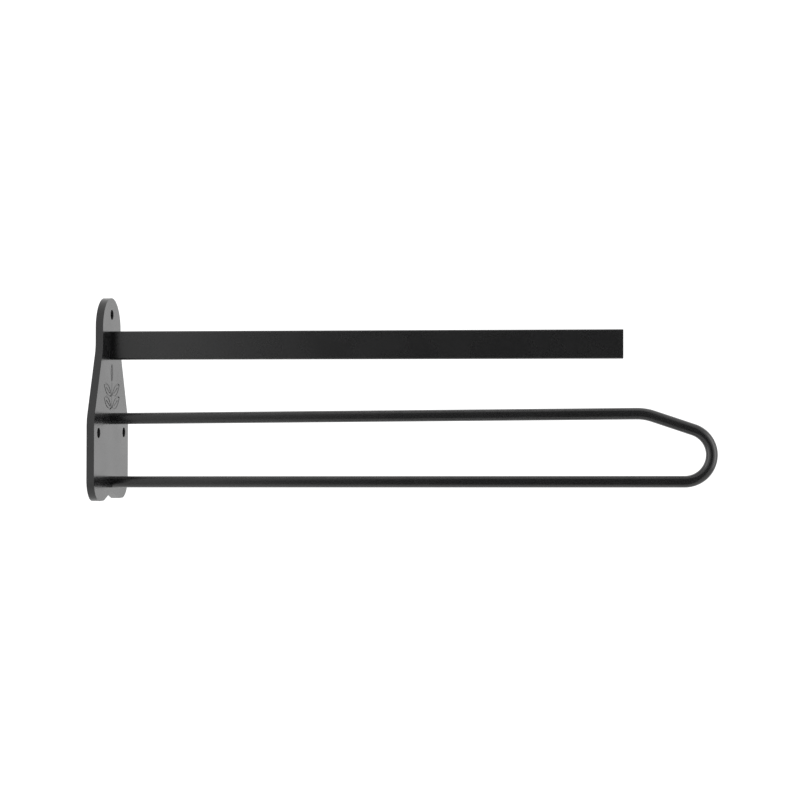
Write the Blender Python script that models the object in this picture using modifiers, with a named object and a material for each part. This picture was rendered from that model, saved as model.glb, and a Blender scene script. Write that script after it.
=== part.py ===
"""Paper towel holder: a wall plate that carries a flat guide bar and a bent-rod hairpin.

Metres, +Z up. The origin is the middle of the plate's wall face, the arms point along +X
away from the wall, and Y runs across the plate. The arms pass through the plate and are
welded in pockets on its wall side, ground flush, so that the room side shows no bead.
"""

from math import atan2, cos, hypot, pi, radians, sin, tan

import bmesh
import bpy
from mathutils import Euler, Matrix

# Wall plate: a flat outline, symmetric about Y = 0.
PLATE_THICKNESS = 0.004
PLATE_HEIGHT = 0.1063
PLATE_TOP_WIDTH = 0.0325
PLATE_BOTTOM_WIDTH = 0.0628
NECK_LENGTH = 0.0273           # from the top down to where the taper starts
SHOULDER_HEIGHT = 0.042        # from the bottom up to where the taper ends
TAPER_RADIUS = 0.018
LOBE_CORNER_RADIUS = 0.011
LOBE_INNER_RADIUS = 0.008
NOTCH_DEPTH = 0.0042
NOTCH_HALF_WIDTH = 0.0135
NOTCH_RADIUS = 0.0012
PLATE_EDGE_RADIUS = 0.0008

# Screw holes: one in the round top, two below the hairpin's upper leg.
SCREW_HOLE_DIAMETER = 0.0052
TOP_HOLE_FROM_TOP = 0.0088
LOW_HOLE_FROM_SIDE = 0.0081
LOW_HOLE_BELOW_LEG = 0.00735

# Guide bar: a flat bar on edge.
BAR_LENGTH = 0.268             # in front of the plate
BAR_HEIGHT = 0.015
BAR_THICKNESS = 0.005
BAR_EDGE_RADIUS = 0.001
BAR_FROM_TOP = 0.0251          # the plate's top down to the bar's middle

# Roll hairpin: one round rod, both ends on the plate.
ROD_DIAMETER = 0.006
LEG_SPACING = 0.03335          # at the plate
LOW_LEG_FROM_BOTTOM = 0.00925
UPPER_LEG_RISE = radians(0.63) # away from the wall
LOWER_LEG_RISE = radians(0.36)
STRAIGHT_LENGTH = 0.279        # from the plate to the corner where the nose starts
NOSE_SLOPE = radians(18.5)
NOSE_CORNER_RADIUS = 0.025
UPPER_BEND_RADIUS = 0.0134
LOWER_BEND_RADIUS = 0.0137

# Welds and fits.
WELD_WIDTH = 0.0008            # beyond the arm's surface, once round
WELD_DEPTH = 0.0015            # of the pocket that it fills
FIT_GAP = 0.0003               # left between pieces that touch

# Sprig engraved in line between the guide bar and the hairpin.
ENGRAVING_DEPTH = 0.0003
LINE_WIDTH = 0.0006
SPRIG_MARGIN = 0.0025
SIDE_LEAF_SHARE = 0.62         # of the height that the sprig fills
TIP_LEAF_SHARE = 0.38
LEAF_SLENDERNESS = 0.34        # a leaf's width to its length
LEAF_TILT = radians(66)
LEAF_PAIRS = 2
LEAF_STEM_GAP = 0.0006

# Fineness of round shapes.
ARC_STEP = radians(7.5)
ROD_RINGS = 9                  # bevel resolution, which makes 22 sides
EDGE_SEGMENTS = 2
HOLE_SIDES = 32
ROD_HOLE_SIDES = 48
LEAF_STEPS = 8

# Working tolerances.
CUT_OVERRUN = 0.001            # how far a cutter reaches past the face it opens
SAME_POINT = 1e-6              # points nearer than this are one
ROUNDED_EDGE_ANGLE = radians(60)
SMOOTH_ANGLE = radians(35)

# Black powder coat, glossier on the drawn rod than on the plate and the welds.
COAT_COLOUR = (0.012, 0.012, 0.013, 1)
PLATE_ROUGHNESS = 0.3
BAR_ROUGHNESS = 0.28
ROD_ROUGHNESS = 0.26
WELD_ROUGHNESS = 0.4

# Places that follow from the sizes above.
PLATE_TOP = PLATE_HEIGHT / 2
PLATE_BOTTOM = -PLATE_HEIGHT / 2
BAR_MIDDLE = PLATE_TOP - BAR_FROM_TOP
LOW_LEG = PLATE_BOTTOM + LOW_LEG_FROM_BOTTOM
HIGH_LEG = LOW_LEG + LEG_SPACING

# Turns a drawing in local X and Y so that it lies across and up the plate, thickness along X.
ON_PLATE = (pi / 2, 0, pi / 2)


def clear_scene():
    for obj in list(bpy.data.objects):
        bpy.data.objects.remove(obj, do_unlink=True)


def new_collection(name, hidden=False):
    collection = bpy.data.collections.new(name)
    collection.hide_render = hidden
    bpy.context.scene.collection.children.link(collection)
    return collection


def black_powder_coat(name, roughness):
    material = bpy.data.materials.new(name)
    material.use_nodes = True
    shader = material.node_tree.nodes["Principled BSDF"]
    shader.inputs["Base Color"].default_value = COAT_COLOUR
    shader.inputs["Roughness"].default_value = roughness
    shader.inputs["Metallic"].default_value = 0.0
    return material


def arc(centre, radius, start, end):
    """Points on an arc of the given centre, from one angle to another, both included."""
    steps = max(2, round(abs(end - start) / ARC_STEP))
    angles = [start + (end - start) * i / steps for i in range(steps + 1)]
    return [(centre[0] + radius * cos(a), centre[1] + radius * sin(a)) for a in angles]


def half_turned(angle):
    """The same angle, brought between -pi and pi."""
    return (angle + pi) % (2 * pi) - pi


def along(point, angle, distance):
    return (point[0] + distance * cos(angle), point[1] + distance * sin(angle))


def heading(start, end):
    return atan2(end[1] - start[1], end[0] - start[0])


def rounded_corner(before, corner, after, radius):
    """The arc that rounds one corner of an outline, tangent to both of its sides."""
    to_before = heading(corner, before)
    to_after = heading(corner, after)
    half_opening = half_turned(to_after - to_before) / 2
    centre = along(corner, to_before + half_opening, radius / sin(abs(half_opening)))
    trim = radius / tan(abs(half_opening))
    start = heading(centre, along(corner, to_before, trim))
    end = heading(centre, along(corner, to_after, trim))
    return arc(centre, radius, start, start + half_turned(end - start))


def rounded_outline(corners):
    """A closed outline from (x, y, radius) corners. A corner of radius 0 stays one point."""
    points = []
    for i, (x, y, radius) in enumerate(corners):
        before = corners[i - 1]
        after = corners[(i + 1) % len(corners)]
        points += rounded_corner(before, (x, y), after, radius) if radius else [(x, y)]
    return points


def without_repeats(points):
    kept = []
    for point in points:
        if not kept or hypot(point[0] - kept[-1][0], point[1] - kept[-1][1]) > SAME_POINT:
            kept.append(point)
    return kept


def add_spline(curve, points, cyclic):
    spline = curve.splines.new("POLY")
    spline.points.add(len(points) - 1)
    for spot, point in zip(spline.points, points):
        spot.co = (*point, 1)
    spline.use_cyclic_u = cyclic


def poly_curve(name, points, cyclic, dimensions):
    """A curve object with one straight-sided spline through 3-D points."""
    curve = bpy.data.curves.new(name, "CURVE")
    curve.dimensions = dimensions
    add_spline(curve, points, cyclic)
    return bpy.data.objects.new(name, curve)


def flat_piece(name, outline, thickness, collection, inner=None):
    """A plate of the given outline as a closed mesh, centred on its own XY plane.

    An inner outline leaves a hole.
    """
    points = [(x, y, 0) for x, y in without_repeats(outline)]
    drawing = poly_curve(name + "_drawing", points, True, "2D")
    if inner:
        add_spline(drawing.data, [(x, y, 0) for x, y in inner], True)
    drawing.data.fill_mode = "BOTH"
    drawing.data.extrude = thickness / 2
    collection.objects.link(drawing)
    graph = bpy.context.evaluated_depsgraph_get()
    mesh = bpy.data.meshes.new_from_object(drawing.evaluated_get(graph))
    bpy.data.objects.remove(drawing, do_unlink=True)
    work = bmesh.new()
    work.from_mesh(mesh)
    bmesh.ops.remove_doubles(work, verts=work.verts, dist=SAME_POINT)
    bmesh.ops.recalc_face_normals(work, faces=work.faces)
    work.to_mesh(mesh)
    work.free()
    piece = bpy.data.objects.new(name, mesh)
    collection.objects.link(piece)
    return piece


def cutter_look(obj):
    obj.display_type = "WIRE"
    obj.hide_render = True


def cut(piece, cutter):
    boolean = piece.modifiers.new("Cut " + cutter.name, "BOOLEAN")
    boolean.operation = "DIFFERENCE"
    boolean.solver = "EXACT"
    boolean.object = cutter


def finish(obj, roughness):
    obj.data.materials.append(black_powder_coat(obj.name + "_coat", roughness))
    if obj.type == "MESH":
        obj.data.shade_smooth()
        obj.data.set_sharp_from_angle(angle=SMOOTH_ANGLE)


def plate_outline():
    """The plate seen from the room, in (across, up) coordinates."""
    half_top = PLATE_TOP_WIDTH / 2
    half_bottom = PLATE_BOTTOM_WIDTH / 2
    neck = PLATE_TOP - NECK_LENGTH
    shoulder = PLATE_BOTTOM + SHOULDER_HEIGHT
    inner_trim = LOBE_INNER_RADIUS * tan(atan2(NOTCH_DEPTH, NOTCH_HALF_WIDTH) / 2)
    corner_room = half_bottom - NOTCH_HALF_WIDTH - inner_trim - FIT_GAP
    right = [
        (NOTCH_HALF_WIDTH, PLATE_BOTTOM, LOBE_INNER_RADIUS),
        (half_bottom, PLATE_BOTTOM, min(LOBE_CORNER_RADIUS, corner_room)),
        (half_bottom, shoulder, TAPER_RADIUS),
        (half_top, neck, TAPER_RADIUS),
    ]
    left = [(-x, y, radius) for x, y, radius in reversed(right)]
    notch = (0, PLATE_BOTTOM + NOTCH_DEPTH, NOTCH_RADIUS)
    crown = [(x, y, 0) for x, y in arc((0, PLATE_TOP - half_top), half_top, 0, pi)]
    return rounded_outline([notch, *right, *crown, *left])


def screw_places():
    """The (across, up) centres of the three screw holes."""
    across = PLATE_BOTTOM_WIDTH / 2 - LOW_HOLE_FROM_SIDE
    low = HIGH_LEG - LOW_HOLE_BELOW_LEG
    return [(0, PLATE_TOP - TOP_HOLE_FROM_TOP), (-across, low), (across, low)]


def screw_hole_cutter(name, across, up, collection):
    bpy.ops.mesh.primitive_cylinder_add(
        vertices=HOLE_SIDES,
        radius=SCREW_HOLE_DIAMETER / 2,
        depth=PLATE_THICKNESS + 2 * CUT_OVERRUN,
        location=(PLATE_THICKNESS / 2, across, up),
        rotation=(0, pi / 2, 0),
    )
    cutter = bpy.context.active_object
    cutter.name = name
    for owner in list(cutter.users_collection):
        owner.objects.unlink(cutter)
    collection.objects.link(cutter)
    cutter_look(cutter)
    return cutter


def bar_section(grow):
    """The guide bar's section in (across, up), enlarged all round, about its own middle."""
    width = BAR_THICKNESS + 2 * grow
    height = BAR_HEIGHT + 2 * grow
    return rounded_rectangle(width, height, BAR_EDGE_RADIUS + grow)


def rod_section(grow):
    radius = ROD_DIAMETER / 2 + grow
    turns = [2 * pi * i / ROD_HOLE_SIDES for i in range(ROD_HOLE_SIDES)]
    return [(radius * cos(turn), radius * sin(turn)) for turn in turns]


def across_the_plate(piece, out, up):
    """Turns a flat piece into the plate's plane, its middle at this distance and height."""
    piece.rotation_euler = ON_PLATE
    piece.location = (out, 0, up)


def slot_cutters(name, section, up, collection):
    """The hole that an arm passes through, and the wider weld pocket on the wall side."""
    through = flat_piece(name + "_slot", section(FIT_GAP), PLATE_THICKNESS + 2 * CUT_OVERRUN, collection)
    across_the_plate(through, PLATE_THICKNESS / 2, up)
    pocket_outline = section(FIT_GAP + WELD_WIDTH + FIT_GAP)
    pocket = flat_piece(name + "_pocket", pocket_outline, WELD_DEPTH + CUT_OVERRUN, collection)
    across_the_plate(pocket, (WELD_DEPTH - CUT_OVERRUN) / 2, up)
    for cutter in (through, pocket):
        cutter_look(cutter)
    return [through, pocket]


def leaf_outline(foot, length, width):
    """A pointed leaf along +Y from its foot on the Y axis, its two sides parabolic."""
    shares = [i / LEAF_STEPS for i in range(LEAF_STEPS + 1)]
    right = [(2 * width * share * (1 - share), foot + length * share) for share in shares]
    left = [(-x, y) for x, y in right[-2:0:-1]]
    return right + left


def leaf_rings(length):
    """The outer and inner outlines of a leaf drawn in line."""
    width = LEAF_SLENDERNESS * length
    line = min(LINE_WIDTH, width / 4)
    return [leaf_outline(0, length, width), leaf_outline(2 * line, length - 4 * line, width - 2 * line)]


def engraving_cutter(name, outlines, across, up, turn, collection):
    """A cutter that leaves a pocket in the plate's room face, turned in the plate's plane."""
    depth = ENGRAVING_DEPTH + CUT_OVERRUN
    cutter = flat_piece(name, outlines[0], depth, collection, *outlines[1:])
    cutter.rotation_euler = (Euler(ON_PLATE).to_matrix() @ Matrix.Rotation(turn, 3, "Z")).to_euler()
    cutter.location = (PLATE_THICKNESS - ENGRAVING_DEPTH + depth / 2, across, up)
    cutter_look(cutter)
    return cutter


def sprig_cutters(collection):
    """A stem with pairs of leaves and one at its tip, in the space between bar and hairpin."""
    lowest = HIGH_LEG + ROD_DIAMETER / 2 + SPRIG_MARGIN
    highest = BAR_MIDDLE - BAR_HEIGHT / 2 - SPRIG_MARGIN
    tip_length = TIP_LEAF_SHARE * (highest - lowest)
    tip_foot = highest - tip_length
    stem_length = tip_foot - LEAF_STEM_GAP - lowest
    half = LINE_WIDTH / 2
    stem = [(-half, 0), (half, 0), (half, stem_length), (-half, stem_length)]
    side_leaf = leaf_rings(SIDE_LEAF_SHARE * (highest - lowest))
    cutters = [
        engraving_cutter("stem_cut", [stem], 0, lowest, 0, collection),
        engraving_cutter("tip_leaf_cut", leaf_rings(tip_length), 0, tip_foot, 0, collection),
    ]
    foot = half + LEAF_STEM_GAP
    for pair in range(LEAF_PAIRS):
        up = lowest + stem_length * pair / LEAF_PAIRS
        for side, word in ((-1, "left"), (1, "right")):
            name = f"{word}_leaf_cut_{pair + 1}"
            turn = -side * LEAF_TILT
            cutters.append(engraving_cutter(name, side_leaf, side * foot, up, turn, collection))
    return cutters


def make_wall_plate(parts, cutters):
    plate = flat_piece("wall_plate", plate_outline(), PLATE_THICKNESS, parts)
    across_the_plate(plate, PLATE_THICKNESS / 2, 0)
    edge = plate.modifiers.new("Rounded rim", "BEVEL")
    edge.width = PLATE_EDGE_RADIUS
    edge.segments = EDGE_SEGMENTS
    edge.limit_method = "ANGLE"
    edge.angle_limit = ROUNDED_EDGE_ANGLE
    for number, (across, up) in enumerate(screw_places(), 1):
        cut(plate, screw_hole_cutter(f"screw_hole_cut_{number}", across, up, cutters))
    for name, section, up in arm_roots():
        for cutter in slot_cutters(name, section, up, cutters):
            cut(plate, cutter)
    for cutter in sprig_cutters(cutters):
        cut(plate, cutter)
    finish(plate, PLATE_ROUGHNESS)
    return plate


def rounded_rectangle(width, height, radius):
    x = width / 2
    y = height / 2
    return rounded_outline([(x, -y, radius), (x, y, radius), (-x, y, radius), (-x, -y, radius)])


def arm_roots():
    """Each arm's name, its section and the height at which it passes through the plate."""
    return [
        ("guide_bar", bar_section, BAR_MIDDLE),
        ("upper_leg", rod_section, HIGH_LEG),
        ("lower_leg", rod_section, LOW_LEG),
    ]


def make_guide_bar(parts):
    length = PLATE_THICKNESS + BAR_LENGTH
    bar = flat_piece("guide_bar", bar_section(0), length, parts)
    across_the_plate(bar, length / 2, BAR_MIDDLE)
    finish(bar, BAR_ROUGHNESS)
    return bar


def hairpin_route():
    """The rod's centre line in (out, up) coordinates, from the upper root to the lower one.

    Both legs rise a little, and the sloping nose starts at a corner. Its far end turns into the
    upper bend, which meets the lower bend at the tip. The ends stop just inside the wall face.
    """
    slope = tan(NOSE_SLOPE)
    rise = tan(LOWER_LEG_RISE)
    corner_out = PLATE_THICKNESS + STRAIGHT_LENGTH
    corner = (corner_out, HIGH_LEG + corner_out * tan(UPPER_LEG_RISE))
    bend_up_at_wall = LOW_LEG + LOWER_BEND_RADIUS * (cos(LOWER_LEG_RISE) - (1 - sin(LOWER_LEG_RISE)) * rise)
    nose_room = corner[0] * slope + corner[1] - bend_up_at_wall
    upper_bend_room = UPPER_BEND_RADIUS * (1 - sin(NOSE_SLOPE)) / cos(NOSE_SLOPE)
    farthest = (nose_room - upper_bend_room) / (slope + rise)
    bend_up = bend_up_at_wall + farthest * rise
    tangent = NOSE_CORNER_RADIUS * tan((NOSE_SLOPE + UPPER_LEG_RISE) / 2)
    corner_start = along(corner, UPPER_LEG_RISE + pi, tangent)
    corner_centre = along(corner_start, UPPER_LEG_RISE - pi / 2, NOSE_CORNER_RADIUS)
    upper_centre = (farthest - UPPER_BEND_RADIUS, bend_up)
    lower_centre = (farthest - LOWER_BEND_RADIUS, bend_up)
    steep = pi / 2 - NOSE_SLOPE
    route = [(FIT_GAP, HIGH_LEG)]
    route += arc(corner_centre, NOSE_CORNER_RADIUS, pi / 2 + UPPER_LEG_RISE, steep)
    route += arc(upper_centre, UPPER_BEND_RADIUS, steep, 0)
    route += arc(lower_centre, LOWER_BEND_RADIUS, 0, LOWER_LEG_RISE - pi / 2)
    route.append((FIT_GAP, LOW_LEG))
    return without_repeats(route)


def make_roll_hairpin(parts):
    points = [(out, 0, up) for out, up in hairpin_route()]
    rod = poly_curve("roll_hairpin", points, False, "3D")
    rod.data.bevel_depth = ROD_DIAMETER / 2
    rod.data.bevel_resolution = ROD_RINGS
    rod.data.use_fill_caps = True
    parts.objects.link(rod)
    for spline in rod.data.splines:
        spline.use_smooth = True
    finish(rod, ROD_ROUGHNESS)
    return rod


def make_weld(name, section, up, parts):
    """A ring that fills the pocket about an arm, flush with the plate's wall face."""
    thickness = WELD_DEPTH - FIT_GAP
    outer = section(FIT_GAP + WELD_WIDTH)
    ring = flat_piece(name + "_weld", outer, thickness, parts, without_repeats(section(FIT_GAP)))
    across_the_plate(ring, thickness / 2, up)
    finish(ring, WELD_ROUGHNESS)
    return ring


def main():
    clear_scene()
    parts = new_collection("paper_towel_holder")
    cutters = new_collection("cutters", hidden=True)
    make_wall_plate(parts, cutters)
    make_guide_bar(parts)
    make_roll_hairpin(parts)
    for name, section, up in arm_roots():
        make_weld(name, section, up, parts)


main()
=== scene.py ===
from math import atan2, ceil, cos, hypot, pi, radians, sin, tan

import bmesh
import bpy
from mathutils import Euler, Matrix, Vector, noise


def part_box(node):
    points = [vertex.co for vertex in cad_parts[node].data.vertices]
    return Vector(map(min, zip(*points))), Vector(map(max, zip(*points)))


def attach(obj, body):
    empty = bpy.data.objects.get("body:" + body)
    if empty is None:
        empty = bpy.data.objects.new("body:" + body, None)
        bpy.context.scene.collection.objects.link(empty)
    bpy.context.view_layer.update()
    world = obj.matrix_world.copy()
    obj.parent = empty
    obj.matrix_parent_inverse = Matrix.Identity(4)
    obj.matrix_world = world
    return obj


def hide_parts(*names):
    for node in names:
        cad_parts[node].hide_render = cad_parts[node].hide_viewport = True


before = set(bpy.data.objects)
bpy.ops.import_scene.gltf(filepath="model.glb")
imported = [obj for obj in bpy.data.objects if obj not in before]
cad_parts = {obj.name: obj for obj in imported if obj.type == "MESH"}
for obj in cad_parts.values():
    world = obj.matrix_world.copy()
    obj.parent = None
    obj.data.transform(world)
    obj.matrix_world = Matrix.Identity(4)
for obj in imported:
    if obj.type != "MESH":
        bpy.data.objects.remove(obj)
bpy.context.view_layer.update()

# places that the pieces are built from
plateLow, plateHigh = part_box("wall_plate")
barLow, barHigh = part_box("guide_bar")
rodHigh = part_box("roll_hairpin")[1]
plateFace = plateHigh.x
wallFace = plateLow.x
rodRadius = rodHigh.y
lowLegFromBottom = 0.00925
legSpacing = 0.03335      # between the legs' middles at the wall face
lowLeg = plateLow.z + lowLegFromBottom
highLeg = lowLeg + legSpacing
acrossAxis = Vector((0, 1, 0))
outAxis = Vector((1, 0, 0))
print("frame loaded:", len(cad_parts), "nodes")

arcStep = radians(2.5)    # turn between two points on an arc
samePoint = 1e-6          # points nearer than this are one


# drawing in the plane: a point is a pair, and a corner carries its own radius

def arc(centre, radius, start, end):
    steps = max(3, ceil(abs(end - start) / arcStep))
    angles = [start + (end - start) * i / steps for i in range(steps + 1)]
    return [stepFrom(centre, angle, radius) for angle in angles]


def stepFrom(point, angle, distance):
    return (point[0] + distance * cos(angle), point[1] + distance * sin(angle))


def heading(start, end):
    return atan2(end[1] - start[1], end[0] - start[0])


def halfTurned(angle):
    return (angle + pi) % (2 * pi) - pi


def roundedCorner(before, corner, after, radius):
    toBefore = heading(corner, before)
    toAfter = heading(corner, after)
    halfOpening = halfTurned(toAfter - toBefore) / 2
    centre = stepFrom(corner, toBefore + halfOpening, radius / sin(abs(halfOpening)))
    trim = radius / tan(abs(halfOpening))
    start = heading(centre, stepFrom(corner, toBefore, trim))
    end = heading(centre, stepFrom(corner, toAfter, trim))
    return arc(centre, radius, start, start + halfTurned(end - start))


def roundedOutline(corners):
    points = []
    for i, (x, y, radius) in enumerate(corners):
        before = corners[i - 1]
        after = corners[(i + 1) % len(corners)]
        points += roundedCorner(before, (x, y), after, radius) if radius else [(x, y)]
    return withoutRepeats(points)


def withoutRepeats(points):
    kept = [points[0]]
    for point in points[1:]:
        if hypot(point[0] - kept[-1][0], point[1] - kept[-1][1]) > samePoint:
            kept.append(point)
    return kept


def roundedRectangle(width, height, radius):
    x, y = width / 2, height / 2
    return roundedOutline([(x, -y, radius), (x, y, radius), (-x, y, radius), (-x, -y, radius)])


# meshes

def meshObject(name, work):
    bmesh.ops.recalc_face_normals(work, faces=work.faces)
    mesh = bpy.data.meshes.new(name)
    work.to_mesh(mesh)
    work.free()
    obj = bpy.data.objects.new(name, mesh)
    bpy.context.scene.collection.objects.link(obj)
    return obj


def loft(work, rings, closed=False):
    # joins each ring of points to the next, and caps the two ends of an open run
    rows = [[work.verts.new(point) for point in ring] for ring in rings]
    count = len(rows[0])
    for i in range(len(rows) if closed else len(rows) - 1):
        here, there = rows[i], rows[(i + 1) % len(rows)]
        for j in range(count):
            k = (j + 1) % count
            work.faces.new((here[j], here[k], there[k], there[j]))
    if not closed:
        work.faces.new(rows[0])
        work.faces.new(rows[-1])


def roundSections(path, radius, sides, square):
    # round sections along a path whose plane is square to the given axis
    rings = []
    for i, point in enumerate(path):
        before = path[max(i - 1, 0)]
        after = path[min(i + 1, len(path) - 1)]
        side = (after - before).normalized().cross(square)
        turns = [2 * pi * j / sides for j in range(sides)]
        rings.append([point + radius * (cos(t) * side + sin(t) * square) for t in turns])
    return rings


def turnedSections(profile, across, up, sides):
    # an (out, radius) profile turned about a line along X
    turns = [2 * pi * j / sides for j in range(sides)]
    return [
        [Vector((out, across + r * cos(t), up + r * sin(t))) for t in turns]
        for out, r in profile
    ]


def extruded(outline, low, high, edgeRadius, edgeSegments):
    # an (across, up) outline from one X to another
    # the bevel leaves both ends' edges sharp as it stands, because loft winds one end cap the other way
    work = bmesh.new()
    loft(work, [[Vector((x, across, up)) for across, up in outline] for x in (low, high)])
    rims = [e for e in work.edges if abs(e.verts[0].co.x - e.verts[1].co.x) < samePoint]
    bmesh.ops.bevel(
        work, geom=rims, offset=edgeRadius, segments=edgeSegments, profile=0.5, affect="EDGES"
    )
    return work


def bakeModifiers(piece):
    graph = bpy.context.evaluated_depsgraph_get()
    mesh = bpy.data.meshes.new_from_object(piece.evaluated_get(graph))
    piece.modifiers.clear()
    piece.data = mesh


def cutAway(piece, cutters):
    for cutter in cutters:
        boolean = piece.modifiers.new("cut", "BOOLEAN")
        boolean.operation = "DIFFERENCE"
        boolean.solver = "EXACT"
        boolean.object = cutter
    bakeModifiers(piece)
    for cutter in cutters:
        bpy.data.objects.remove(cutter, do_unlink=True)


def shadeSmoothly(piece, sharpAngle=radians(40)):
    # flat faces stay flat while the rounded edges between them shade as one
    piece.data.shade_smooth()
    piece.data.set_sharp_from_angle(angle=sharpAngle)
    weighted = piece.modifiers.new("flat faces first", "WEIGHTED_NORMAL")
    weighted.weight = 100
    weighted.keep_sharp = True
    bakeModifiers(piece)


def settle(piece, node, coat):
    piece.data.materials.clear()
    piece.data.materials.append(coat)
    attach(piece, "root")
    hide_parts(node)


# shader helpers: a value is a number, a colour or another node's output

def addNode(tree, kind, **settings):
    node = tree.nodes.new(kind)
    for name, value in settings.items():
        setattr(node, name, value)
    return node


def feed(tree, value, socket):
    if isinstance(value, bpy.types.NodeSocket):
        tree.links.new(value, socket)
    else:
        socket.default_value = value


def calc(tree, operation, *values):
    node = addNode(tree, "ShaderNodeMath", operation=operation)
    for value, socket in zip(values, node.inputs):
        feed(tree, value, socket)
    return node.outputs["Value"]


def ramp(tree, value, low, high, bottom=0.0, top=1.0):
    node = addNode(tree, "ShaderNodeMapRange", interpolation_type="SMOOTHSTEP")
    labels = ("Value", "From Min", "From Max", "To Min", "To Max")
    for item, label in zip((value, low, high, bottom, top), labels):
        feed(tree, item, node.inputs[label])
    return node.outputs["Result"]


def cloud(tree, vector, scale, detail=2.0, roughness=0.5):
    node = addNode(tree, "ShaderNodeTexNoise")
    labels = ("Vector", "Scale", "Detail", "Roughness")
    for item, label in zip((vector, scale, detail, roughness), labels):
        feed(tree, item, node.inputs[label])
    return node.outputs["Fac"]


def mixed(tree, amount, first, second):
    node = addNode(tree, "ShaderNodeMix", data_type="RGBA")
    # a Mix node has one set of sockets for each data type, and the colour ones are found by type
    colours = [socket for socket in node.inputs if socket.type == "RGBA"]
    feed(tree, amount, node.inputs[0])
    feed(tree, first, colours[0])
    feed(tree, second, colours[1])
    return next(socket for socket in node.outputs if socket.type == "RGBA")


def place(tree, group, **values):
    node = addNode(tree, "ShaderNodeGroup", node_tree=group)
    for label, value in values.items():
        feed(tree, value, node.inputs[label])
    return node.outputs


def newGroup(name, inputs, outputs):
    group = bpy.data.node_groups.new(name, "ShaderNodeTree")
    for label, start in inputs.items():
        socket = group.interface.new_socket(label, in_out="INPUT", socket_type="NodeSocketFloat")
        socket.default_value = start
    for label in outputs:
        group.interface.new_socket(label, in_out="OUTPUT", socket_type="NodeSocketFloat")
    start = addNode(group, "NodeGroupInput").outputs
    end = addNode(group, "NodeGroupOutput").inputs
    spot = addNode(group, "ShaderNodeTexCoord").outputs["Object"]
    return group, start, end, spot


def makeOrangePeel():
    # the soft dimpled surface that powder takes when it flows in the oven
    group, start, end, spot = newGroup("orangePeel", {"Dimples": 900.0, "Grain": 4200.0}, ["Height"])
    dimples = cloud(group, spot, start["Dimples"], 1.0, 0.4)
    grain = cloud(group, spot, start["Grain"], 2.0, 0.6)
    dimples = calc(group, "MULTIPLY", dimples, 0.8)
    grain = calc(group, "MULTIPLY", grain, 0.2)
    feed(group, calc(group, "ADD", dimples, grain), end["Height"])
    return group


def makeEdgeWearAndHighlight():
    # where the coat is thin and rubbed along the outer edges; the lighter colour there is also a painted
    # highlight, standing in for the light that rounded rims would catch
    inputs = {"Width": 0.0004, "Breakup": 260.0, "Amount": 0.6}
    group, start, end, spot = newGroup("edgeWearAndHighlight", inputs, ["Mask"])
    rounded = addNode(group, "ShaderNodeBevel", samples=6)
    feed(group, start["Width"], rounded.inputs["Radius"])
    surface = addNode(group, "ShaderNodeNewGeometry").outputs["Normal"]
    facing = addNode(group, "ShaderNodeVectorMath", operation="DOT_PRODUCT")
    feed(group, rounded.outputs["Normal"], facing.inputs[0])
    feed(group, surface, facing.inputs[1])
    edge = ramp(group, facing.outputs["Value"], 0.995, 0.88)
    patches = ramp(group, cloud(group, spot, start["Breakup"], 3.0, 0.6), 0.35, 0.7)
    wornAndLit = calc(group, "MULTIPLY", edge, patches)
    feed(group, calc(group, "MULTIPLY", wornAndLit, start["Amount"]), end["Mask"])
    return group


def makeMottle():
    # broad cloudy changes in gloss where the coat is thicker or thinner
    group, start, end, spot = newGroup("mottle", {"Patches": 55.0, "Spread": 0.2}, ["Mask"])
    patches = cloud(group, spot, start["Patches"], 3.0, 0.55)
    low = calc(group, "SUBTRACT", 0.5, start["Spread"])
    high = calc(group, "ADD", 0.5, start["Spread"])
    feed(group, ramp(group, patches, low, high), end["Mask"])
    return group


def makeDust():
    # a thin film with single specks on what faces up
    inputs = {"Amount": 0.3, "Specks": 1500.0, "Film": 140.0}
    group, start, end, spot = newGroup("dust", inputs, ["Mask"])
    normal = addNode(group, "ShaderNodeNewGeometry").outputs["Normal"]
    parts = addNode(group, "ShaderNodeSeparateXYZ")
    feed(group, normal, parts.inputs[0])
    upward = ramp(group, parts.outputs["Z"], 0.35, 0.95)
    film = ramp(group, cloud(group, spot, start["Film"], 3.0, 0.6), 0.3, 0.75, 0.0, 0.5)
    specks = ramp(group, cloud(group, spot, start["Specks"], 1.0, 0.5), 0.68, 0.74)
    settled = calc(group, "MULTIPLY", calc(group, "MAXIMUM", film, specks), upward)
    feed(group, calc(group, "MULTIPLY", settled, start["Amount"]), end["Mask"])
    return group


def makeRubMarks():
    # fine lines along the arms, left by rolls that slide on and off
    inputs = {"Lines": 2400.0, "Amount": 0.5, "Patches": 45.0}
    group, start, end, spot = newGroup("rubMarks", inputs, ["Mask"])
    stretch = addNode(group, "ShaderNodeVectorMath", operation="MULTIPLY")
    feed(group, spot, stretch.inputs[0])
    stretch.inputs[1].default_value = (0.012, 1.0, 1.0)
    lines = ramp(group, cloud(group, stretch.outputs[0], start["Lines"], 1.0, 0.5), 0.66, 0.72)
    patches = ramp(group, cloud(group, spot, start["Patches"], 2.0, 0.5), 0.45, 0.65)
    marks = calc(group, "MULTIPLY", lines, patches)
    feed(group, calc(group, "MULTIPLY", marks, start["Amount"]), end["Mask"])
    return group


orangePeel = makeOrangePeel()
edgeWearAndHighlight = makeEdgeWearAndHighlight()
mottle = makeMottle()
dust = makeDust()
rubMarks = makeRubMarks()
print("shader groups built")

coatColours = {
    "black": (0.0075, 0.0075, 0.0078, 1.0),
    "wornEdgeAndHighlight": (0.03, 0.03, 0.031, 1.0),        # over a worn edge, and partly a painted highlight along the sharp rims
    "dust": (0.20, 0.195, 0.185, 1.0),
}


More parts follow.
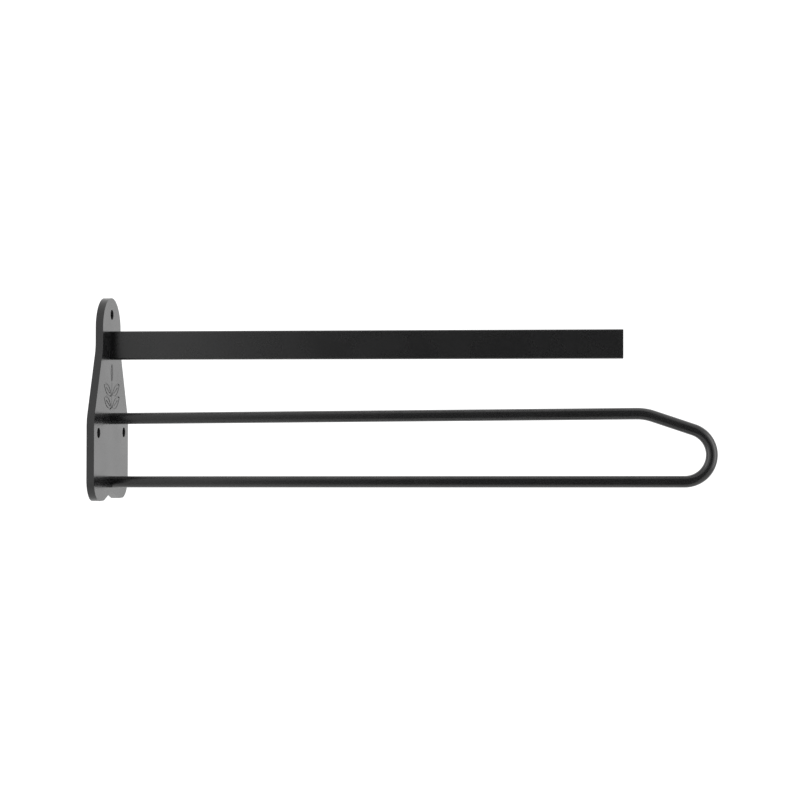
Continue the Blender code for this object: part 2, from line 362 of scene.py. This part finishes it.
# what each effect adds to the coat's roughness, and how far a rub mark presses into its height
coatEffects = {"wornAndLit": -0.05, "dusty": 0.5, "rubbed": 0.16, "rubDepth": -0.2}


def powderCoat(name, gloss):
    material = bpy.data.materials.new(name)
    material.use_nodes = True
    tree = material.node_tree
    shader = tree.nodes["Principled BSDF"]
    shader.inputs["IOR"].default_value = gloss["ior"]
    wornAndLit = place(tree, edgeWearAndHighlight, Width=gloss["edgeWidth"], Amount=gloss["edgeWearAndHighlight"])["Mask"]
    cloudy = place(tree, mottle, Patches=gloss["patches"])["Mask"]
    dusty = place(tree, dust, Amount=gloss["dust"])["Mask"]
    rubbed = place(tree, rubMarks, Amount=gloss["rubMarks"])["Mask"]
    height = place(tree, orangePeel, Dimples=gloss["dimples"])["Height"]

    # the edge mask lightens the colour along edges: partly real wear, partly a painted highlight on rims
    # left sharp
    colour = mixed(tree, wornAndLit, coatColours["black"], coatColours["wornEdgeAndHighlight"])
    feed(tree, mixed(tree, dusty, colour, coatColours["dust"]), shader.inputs["Base Color"])

    rough = calc(tree, "MULTIPLY_ADD", cloudy, gloss["roughnessSpread"], gloss["roughness"])
    rough = calc(tree, "MULTIPLY_ADD", wornAndLit, coatEffects["wornAndLit"], rough)
    rough = calc(tree, "MULTIPLY_ADD", dusty, coatEffects["dusty"], rough)
    rough = calc(tree, "MULTIPLY_ADD", rubbed, coatEffects["rubbed"], rough)
    feed(tree, rough, shader.inputs["Roughness"])

    bump = addNode(tree, "ShaderNodeBump")
    bump.inputs["Strength"].default_value = 1.0
    bump.inputs["Distance"].default_value = gloss["peelDepth"]
    height = calc(tree, "MULTIPLY_ADD", rubbed, coatEffects["rubDepth"], height)
    feed(tree, height, bump.inputs["Height"])
    feed(tree, bump.outputs["Normal"], shader.inputs["Normal"])
    return material


# wall plate, metres

wallPlate = {
    "topWidth": 0.0325,
    "neckLength": 0.0273,          # top down to where the taper starts
    "shoulderHeight": 0.042,       # bottom up to where it ends
    "taperRadius": 0.018,
    "lobeRadius": 0.011,
    "lobeInnerRadius": 0.008,
    "notchDepth": 0.0042,
    "notchHalfWidth": 0.0135,
    "notchRadius": 0.0012,
    "rimRadius": 0.0008,           # wanted, but the rim stays sharp: see extruded
    "rimSegments": 4,
    "holeRadius": 0.0026,
    "holeLip": 0.00025,
    "lipSteps": 6,
    "topHoleFromTop": 0.0088,
    "lowHoleFromSide": 0.0081,
    "lowHoleBelowLeg": 0.00735,
    "holeSides": 64,
    "coat": {"ior": 1.5, "roughness": 0.2, "roughnessSpread": 0.06, "patches": 60.0, "dimples": 900.0,
             "peelDepth": 1.6e-5, "edgeWidth": 0.0005, "edgeWearAndHighlight": 0.5, "dust": 0.1, "rubMarks": 0.0},
}

sprig = {
    "margin": 0.0025,              # to the bar above and the hairpin below
    "sideLeafShare": 0.62,         # of the sprig's height
    "tipLeafShare": 0.38,
    "slenderness": 0.34,
    "tilt": radians(66),
    "pairs": 2,
    "footGap": 0.0009,             # between a leaf's foot and the stem's middle
    "toolRadius": 0.00045,
    "depth": 0.0003,
    "leafSteps": 20,
    "toolSides": 12,
    "vein": (0.22, 0.72),          # where a leaf's middle line starts and ends
}


def plateOutline():
    p = wallPlate
    halfTop = p["topWidth"] / 2
    halfBottom = plateHigh.y
    bottom, top = plateLow.z, plateHigh.z
    right = [
        (p["notchHalfWidth"], bottom, p["lobeInnerRadius"]),
        (halfBottom, bottom, p["lobeRadius"]),
        (halfBottom, bottom + p["shoulderHeight"], p["taperRadius"]),
        (halfTop, top - p["neckLength"], p["taperRadius"]),
    ]
    left = [(-across, up, radius) for across, up, radius in reversed(right)]
    notch = (0, bottom + p["notchDepth"], p["notchRadius"])
    crown = [(across, up, 0) for across, up in arc((0, top - halfTop), halfTop, 0, pi)]
    return roundedOutline([notch, *right, *crown, *left])


def screwPlaces():
    across = plateHigh.y - wallPlate["lowHoleFromSide"]
    low = highLeg - wallPlate["lowHoleBelowLeg"]
    return [(0, plateHigh.z - wallPlate["topHoleFromTop"]), (-across, low), (across, low)]


def holeProfile():
    # the drill's wall, flared at both faces so that the hole's lips come out rounded
    radius, lip = wallPlate["holeRadius"], wallPlate["holeLip"]
    turns = [pi / 2 * i / wallPlate["lipSteps"] for i in range(wallPlate["lipSteps"] + 1)]
    flare = [(lip * sin(t), radius + lip * (1 - cos(t))) for t in turns]
    roomSide = [(plateFace - lip + out, r) for out, r in flare]
    wallSide = [(wallFace + lip - out, r) for out, r in reversed(flare)]
    clear = 2 * lip
    return [(wallFace - clear, radius + lip), *wallSide, *roomSide, (plateFace + clear, radius + lip)]


def leafSide(foot, turn, length, side):
    # one edge of a leaf, or its middle line where side is 0
    start, end = sprig["vein"] if side == 0 else (0, 1)
    steps = sprig["leafSteps"]
    shares = [start + (end - start) * i / steps for i in range(steps + 1)]
    width = sprig["slenderness"] * length
    points = [(side * 2 * width * share * (1 - share), length * share) for share in shares]
    return [
        (foot[0] + x * cos(turn) - y * sin(turn), foot[1] + x * sin(turn) + y * cos(turn))
        for x, y in points
    ]


def sprigLines():
    # the right edges, the left edges, and the stem with the veins, each set free of crossings
    lowest = highLeg + rodRadius + sprig["margin"]
    highest = barLow.z - sprig["margin"]
    height = highest - lowest
    tipLength = sprig["tipLeafShare"] * height
    stemLength = height - tipLength - sprig["footGap"]
    leaves = [((0, highest - tipLength), 0, tipLength)]
    for pair in range(sprig["pairs"]):
        up = lowest + stemLength * pair / sprig["pairs"]
        for side in (-1, 1):
            foot = (side * sprig["footGap"], up)
            leaves.append((foot, -side * sprig["tilt"], sprig["sideLeafShare"] * height))
    edges = [
        [leafSide(foot, turn, length, side) for foot, turn, length in leaves]
        for side in (1, -1, 0)
    ]
    edges[2].append([(0, lowest), (0, lowest + stemLength / 2), (0, lowest + stemLength)])
    return edges


def grooveCutter(name, lines):
    work = bmesh.new()
    out = plateFace + sprig["toolRadius"] - sprig["depth"]
    for line in lines:
        path = [Vector((out, across, up)) for across, up in line]
        loft(work, roundSections(path, sprig["toolRadius"], sprig["toolSides"], outAxis))
    return meshObject(name, work)


def holeCutter():
    work = bmesh.new()
    for across, up in screwPlaces():
        loft(work, turnedSections(holeProfile(), across, up, wallPlate["holeSides"]))
    return meshObject("screwHoleCutter", work)


def pocketCutter():
    # the shallow pockets on the wall side that the welds fill
    work = bmesh.new()
    for outline in armOutlines(weldRing["pocketGrow"]).values():
        ends = (wallFace - weldRing["overrun"], wallFace + weldRing["pocketDepth"])
        loft(work, [[Vector((out, across, up)) for across, up in outline] for out in ends])
    return meshObject("weldPocketCutter", work)


def makeWallPlate():
    p = wallPlate
    work = extruded(plateOutline(), wallFace, plateFace, p["rimRadius"], p["rimSegments"])
    plate = meshObject("wallPlate", work)
    grooves = [grooveCutter(f"grooves{i}", lines) for i, lines in enumerate(sprigLines())]
    cutAway(plate, [holeCutter(), pocketCutter(), *grooves])
    shadeSmoothly(plate)
    settle(plate, "wall_plate", powderCoat("plateCoat", p["coat"]))
    print("wall plate:", len(plate.data.polygons), "faces")


# guide bar

guideBar = {
    "edgeRadius": 0.001,
    "endRadius": 0.0003,
    "endSegments": 3,
    "coat": {"ior": 1.5, "roughness": 0.24, "roughnessSpread": 0.06, "patches": 45.0, "dimples": 850.0,
             "peelDepth": 0.9e-5, "edgeWidth": 0.0007, "edgeWearAndHighlight": 0.5, "dust": 0.25, "rubMarks": 0.4},
}


def barSection(grow=0.0):
    width = barHigh.y - barLow.y + 2 * grow
    height = barHigh.z - barLow.z + 2 * grow
    middle = (barHigh.z + barLow.z) / 2
    outline = roundedRectangle(width, height, guideBar["edgeRadius"] + grow)
    return [(across, up + middle) for across, up in outline]


def makeGuideBar():
    # each end is rounded by sections that shrink towards it
    radius, segments = guideBar["endRadius"], guideBar["endSegments"]
    turns = [pi / 2 * i / segments for i in range(segments + 1)]
    rounding = [(radius * (1 - sin(t)), radius * (cos(t) - 1)) for t in turns]
    stations = [(wallFace + inset, grow) for inset, grow in reversed(rounding)]
    stations += [(barHigh.x - inset, grow) for inset, grow in rounding]
    work = bmesh.new()
    loft(work, [[Vector((out, across, up)) for across, up in barSection(grow)] for out, grow in stations])
    bar = meshObject("guideBar", work)
    shadeSmoothly(bar)
    settle(bar, "guide_bar", powderCoat("barCoat", guideBar["coat"]))
    print("guide bar:", len(bar.data.polygons), "faces")


# roll hairpin

rollHairpin = {
    "noseSlope": radians(18.5),
    "noseCornerRadius": 0.025,
    "upperBendRadius": 0.0134,
    "lowerBendRadius": 0.0137,
    "upperRise": radians(0.63),    # of each leg, away from the wall
    "lowerRise": radians(0.36),
    "endInset": 0.0003,            # the rod's ends stop this far inside the wall face
    "sides": 64,
    "stretch": 0.012,              # longest run between two sections on the legs
    "coat": {"ior": 1.5, "roughness": 0.22, "roughnessSpread": 0.06, "patches": 50.0, "dimples": 1000.0,
             "peelDepth": 1.1e-5, "edgeWidth": 0.0003, "edgeWearAndHighlight": 0.0, "dust": 0.25, "rubMarks": 0.7},
}


def straightRun(start, end):
    # points after the start, up to and with the end
    steps = max(1, ceil(hypot(end[0] - start[0], end[1] - start[1]) / rollHairpin["stretch"]))
    return [tuple(a + (b - a) * i / steps for a, b in zip(start, end)) for i in range(1, steps + 1)]


def hairpinRoute():
    # the rod's middle line in (out, up), from the upper root round the nose to the lower root
    r = rollHairpin
    slope, upperRise, lowerRise = r["noseSlope"], r["upperRise"], r["lowerRise"]
    farthest = rodHigh.x - rodRadius
    lowBend, highBend = r["lowerBendRadius"], r["upperBendRadius"]
    lowStart = lowLeg + (farthest - lowBend * (1 - sin(lowerRise))) * tan(lowerRise)
    bendUp = lowStart + lowBend * cos(lowerRise)
    # the corner lies where the nose's line meets the upper leg's line
    noseStart = (farthest - highBend * (1 - sin(slope)), bendUp + highBend * cos(slope))
    cornerOut = (noseStart[1] + noseStart[0] * tan(slope) - highLeg) / (tan(slope) + tan(upperRise))
    corner = (cornerOut, highLeg + cornerOut * tan(upperRise))
    tangent = r["noseCornerRadius"] * tan((slope + upperRise) / 2)
    cornerStart = stepFrom(corner, upperRise + pi, tangent)
    cornerCentre = stepFrom(cornerStart, upperRise - pi / 2, r["noseCornerRadius"])
    steep = pi / 2 - slope
    bendIn = arc(cornerCentre, r["noseCornerRadius"], pi / 2 + upperRise, steep)
    upperBend = arc((farthest - highBend, bendUp), highBend, steep, 0)
    lowerBend = arc((farthest - lowBend, bendUp), lowBend, 0, lowerRise - pi / 2)
    out = wallFace + r["endInset"]
    root = (out, highLeg)
    route = [root, *straightRun(root, bendIn[0]), *bendIn, *straightRun(bendIn[-1], upperBend[0])]
    route += [*upperBend, *lowerBend, *straightRun(lowerBend[-1], (out, lowLeg))]
    return withoutRepeats(route)


def makeRollHairpin():
    path = [Vector((out, 0, up)) for out, up in hairpinRoute()]
    work = bmesh.new()
    loft(work, roundSections(path, rodRadius, rollHairpin["sides"], acrossAxis))
    rod = meshObject("rollHairpin", work)
    shadeSmoothly(rod)
    settle(rod, "roll_hairpin", powderCoat("rodCoat", rollHairpin["coat"]))
    print("roll hairpin:", len(rod.data.polygons), "faces")


# welds on the wall side, laid as overlapping drops in their pockets and ground nearly flush

weldRing = {
    "pocketGrow": 0.0014,          # from the arm's surface to the pocket's wall
    "pocketDepth": 0.0015,
    "overrun": 0.001,              # how far the pocket's cutter reaches past the wall face
    "inner": -0.00006,             # into the arm, so that no gap shows
    "outer": 0.00146,              # and into the pocket's wall
    "crown": 0.00012,              # the highest point, below the wall face
    "low": 0.0003,                 # the ring's edges, below the wall face
    "ripplePitch": 0.0011,
    "rippleDepth": 0.00012,
    "crescent": 0.55,              # how far a ripple's middle lags behind its ends
    "wander": 400,                 # how quickly the crown's height changes round the ring
    "ground": 0.00015,             # nothing stands nearer to the wall face than this
    "step": 0.00014,
    "profileSteps": 12,
    "coat": {"ior": 1.5, "roughness": 0.27, "roughnessSpread": 0.08, "patches": 120.0, "dimples": 1100.0,
             "peelDepth": 2.2e-5, "edgeWidth": 0.0003, "edgeWearAndHighlight": 0.25, "dust": 0.0, "rubMarks": 0.0},
}


def evenSteps(outline, step):
    # points at even distances round a closed outline, each with its outward direction
    spots = [Vector(point) for point in outline]
    lengths = [(spots[(i + 1) % len(spots)] - spot).length for i, spot in enumerate(spots)]
    total = sum(lengths)
    count = round(total / step)
    made, i, passed = [], 0, 0.0
    for n in range(count):
        distance = total * n / count
        while passed + lengths[i] < distance:
            passed += lengths[i]
            i += 1
        made.append(spots[i].lerp(spots[(i + 1) % len(spots)], (distance - passed) / lengths[i]))
    sides = [made[(n + 1) % count] - made[n - 1] for n in range(count)]
    return [(point, Vector((side.y, -side.x)).normalized()) for point, side in zip(made, sides)], total


def weldRings(outline, seed):
    w = weldRing
    spots, total = evenSteps(outline, w["step"])
    pitch = total / round(total / w["ripplePitch"])
    rings = []
    for n, (point, outward) in enumerate(spots):
        travelled = total * n / len(spots)
        wander = noise.noise(Vector((point.x * w["wander"], point.y * w["wander"], seed)))
        profile = []
        for j in range(w["profileSteps"] + 1):
            share = j / w["profileSteps"]
            lag = w["crescent"] * (1 - (2 * share - 1) ** 2)
            ripple = abs(sin(pi * (travelled / pitch - lag))) * w["rippleDepth"]
            swell = sin(pi * share) * (w["low"] - w["crown"] + w["crown"] * wander)
            depth = max(w["ground"], w["low"] - swell + ripple * sin(pi * share))
            profile.append((w["inner"] + (w["outer"] - w["inner"]) * share, depth))
        profile += [(w["outer"], w["pocketDepth"]), (w["inner"], w["pocketDepth"])]
        rings.append([
            Vector((wallFace + depth, point.x + outward.x * off, point.y + outward.y * off))
            for off, depth in profile
        ])
    return rings


def makeWeld(name, node, outline, seed):
    work = bmesh.new()
    loft(work, weldRings(outline, seed), closed=True)
    ring = meshObject(name, work)
    shadeSmoothly(ring, radians(50))
    settle(ring, node, powderCoat(name + "Coat", weldRing["coat"]))
    print(name + ":", len(ring.data.polygons), "faces")


def rodCircle(up, grow):
    return arc((0, up), rodRadius + grow, 0, 2 * pi)[:-1]


def armOutlines(grow=0.0):
    # where the arms pass through the plate, enlarged all round
    return {
        "guideBarWeld": barSection(grow),
        "upperLegWeld": rodCircle(highLeg, grow),
        "lowerLegWeld": rodCircle(lowLeg, grow),
    }


makeWallPlate()
makeGuideBar()
makeRollHairpin()
# each weld's node in the frame and the seed of its unevenness
weldNodes = {
    "guideBarWeld": ("guide_bar_weld", 1.7),
    "upperLegWeld": ("upper_leg_weld", 4.1),
    "lowerLegWeld": ("lower_leg_weld", 8.3),
}
for weldName, weldOutline in armOutlines().items():
    weldNode, weldSeed = weldNodes[weldName]
    makeWeld(weldName, weldNode, weldOutline, weldSeed)


# studio, metres: white all round, with one dark gap behind the camera

studio = {
    "whiteness": 1.2,              # of the surroundings, as the coat mirrors them
    "floorHeight": -1.5,
    "floorReach": 6.0,
    "floorColour": (0.92, 0.92, 0.92, 1.0),
    "gapLeft": -0.13,
    "gapRight": 0.75,
    "gapDistance": -0.95,
    "gapTop": 2.2,
    "gapColour": (0.13, 0.13, 0.13, 1.0),
    "softboxSize": 1.1,
    "softboxTallness": 1.6,        # its height to its width
    "softboxTarget": (0.16, 0, 0),
    "softboxes": {
        "leftSoftbox": {"place": (-1.35, -0.45, 0.2), "watts": 9.0},
        "rightSoftbox": {"place": (1.65, -0.45, 0.2), "watts": 13.0},
    },
}

camera = {
    "place": (0.2594, -0.8731, -0.0114),
    "yaw": 0.1164,                 # turned towards the wall plate
    "pitch": 0.0123,               # tipped up
    "roll": 0.002,
    "lens": 76.4,                  # millimetres, as is the sensor
    "sensor": 36.0,
    "clip": (0.01, 50.0),
}


def plainMaterial(name, colour):
    material = bpy.data.materials.new(name)
    material.use_nodes = True
    tree = material.node_tree
    shader = tree.nodes["Principled BSDF"]
    shader.inputs["Roughness"].default_value = 0.9
    shader.inputs["Specular IOR Level"].default_value = 0.0
    spot = addNode(tree, "ShaderNodeTexCoord").outputs["Object"]
    darker = (*(0.97 * part for part in colour[:3]), 1.0)
    feed(tree, mixed(tree, cloud(tree, spot, 3.0), colour, darker), shader.inputs["Base Color"])
    return material


def flatSheet(name, corners, material):
    work = bmesh.new()
    work.faces.new([work.verts.new(corner) for corner in corners])
    sheet = meshObject(name, work)
    sheet.data.materials.append(material)
    return sheet


def makeStudio():
    s = studio
    world = bpy.data.worlds.new("studioWhite")
    bpy.context.scene.world = world
    world.use_nodes = True
    tree = world.node_tree
    surround = tree.nodes["Background"]
    surround.inputs["Color"].default_value = (1.0, 1.0, 1.0, 1.0)
    surround.inputs["Strength"].default_value = s["whiteness"]
    far, low = s["floorReach"], s["floorHeight"]
    corners = [(-far, -far, low), (far, -far, low), (far, far, low), (-far, far, low)]
    flatSheet("paleFloor", corners, plainMaterial("palePaint", s["floorColour"]))
    left, right, back, top = s["gapLeft"], s["gapRight"], s["gapDistance"], s["gapTop"]
    corners = [(left, back, low), (left, back, top), (right, back, top), (right, back, low)]
    gap = flatSheet("darkGap", corners, plainMaterial("darkCloth", s["gapColour"]))
    gap.visible_camera = False
    for name, softbox in s["softboxes"].items():
        light = bpy.data.lights.new(name, "AREA")
        light.shape = "RECTANGLE"
        light.size = s["softboxSize"]
        light.size_y = s["softboxTallness"] * s["softboxSize"]
        light.energy = softbox["watts"]
        lamp = bpy.data.objects.new(name, light)
        lamp.location = softbox["place"]
        target = Vector(s["softboxTarget"])
        lamp.rotation_euler = (target - lamp.location).to_track_quat("-Z", "Y").to_euler()
        lamp.visible_camera = False
        bpy.context.scene.collection.objects.link(lamp)
    print("studio lit")


def makeCamera():
    c = camera
    data = bpy.data.cameras.new("viewCamera")
    data.lens = c["lens"]
    data.sensor_width = c["sensor"]
    data.clip_start, data.clip_end = c["clip"]
    eye = bpy.data.objects.new("viewCamera", data)
    eye.location = c["place"]
    eye.rotation_euler = (Euler((pi / 2 + c["pitch"], 0, c["yaw"])).to_matrix()
                          @ Euler((0, 0, c["roll"])).to_matrix()).to_euler()
    bpy.context.scene.collection.objects.link(eye)
    bpy.context.scene.camera = eye
    bpy.context.scene.view_settings.view_transform = "Standard"
    print("camera placed")


makeStudio()
makeCamera()

bpy.context.view_layer.update()
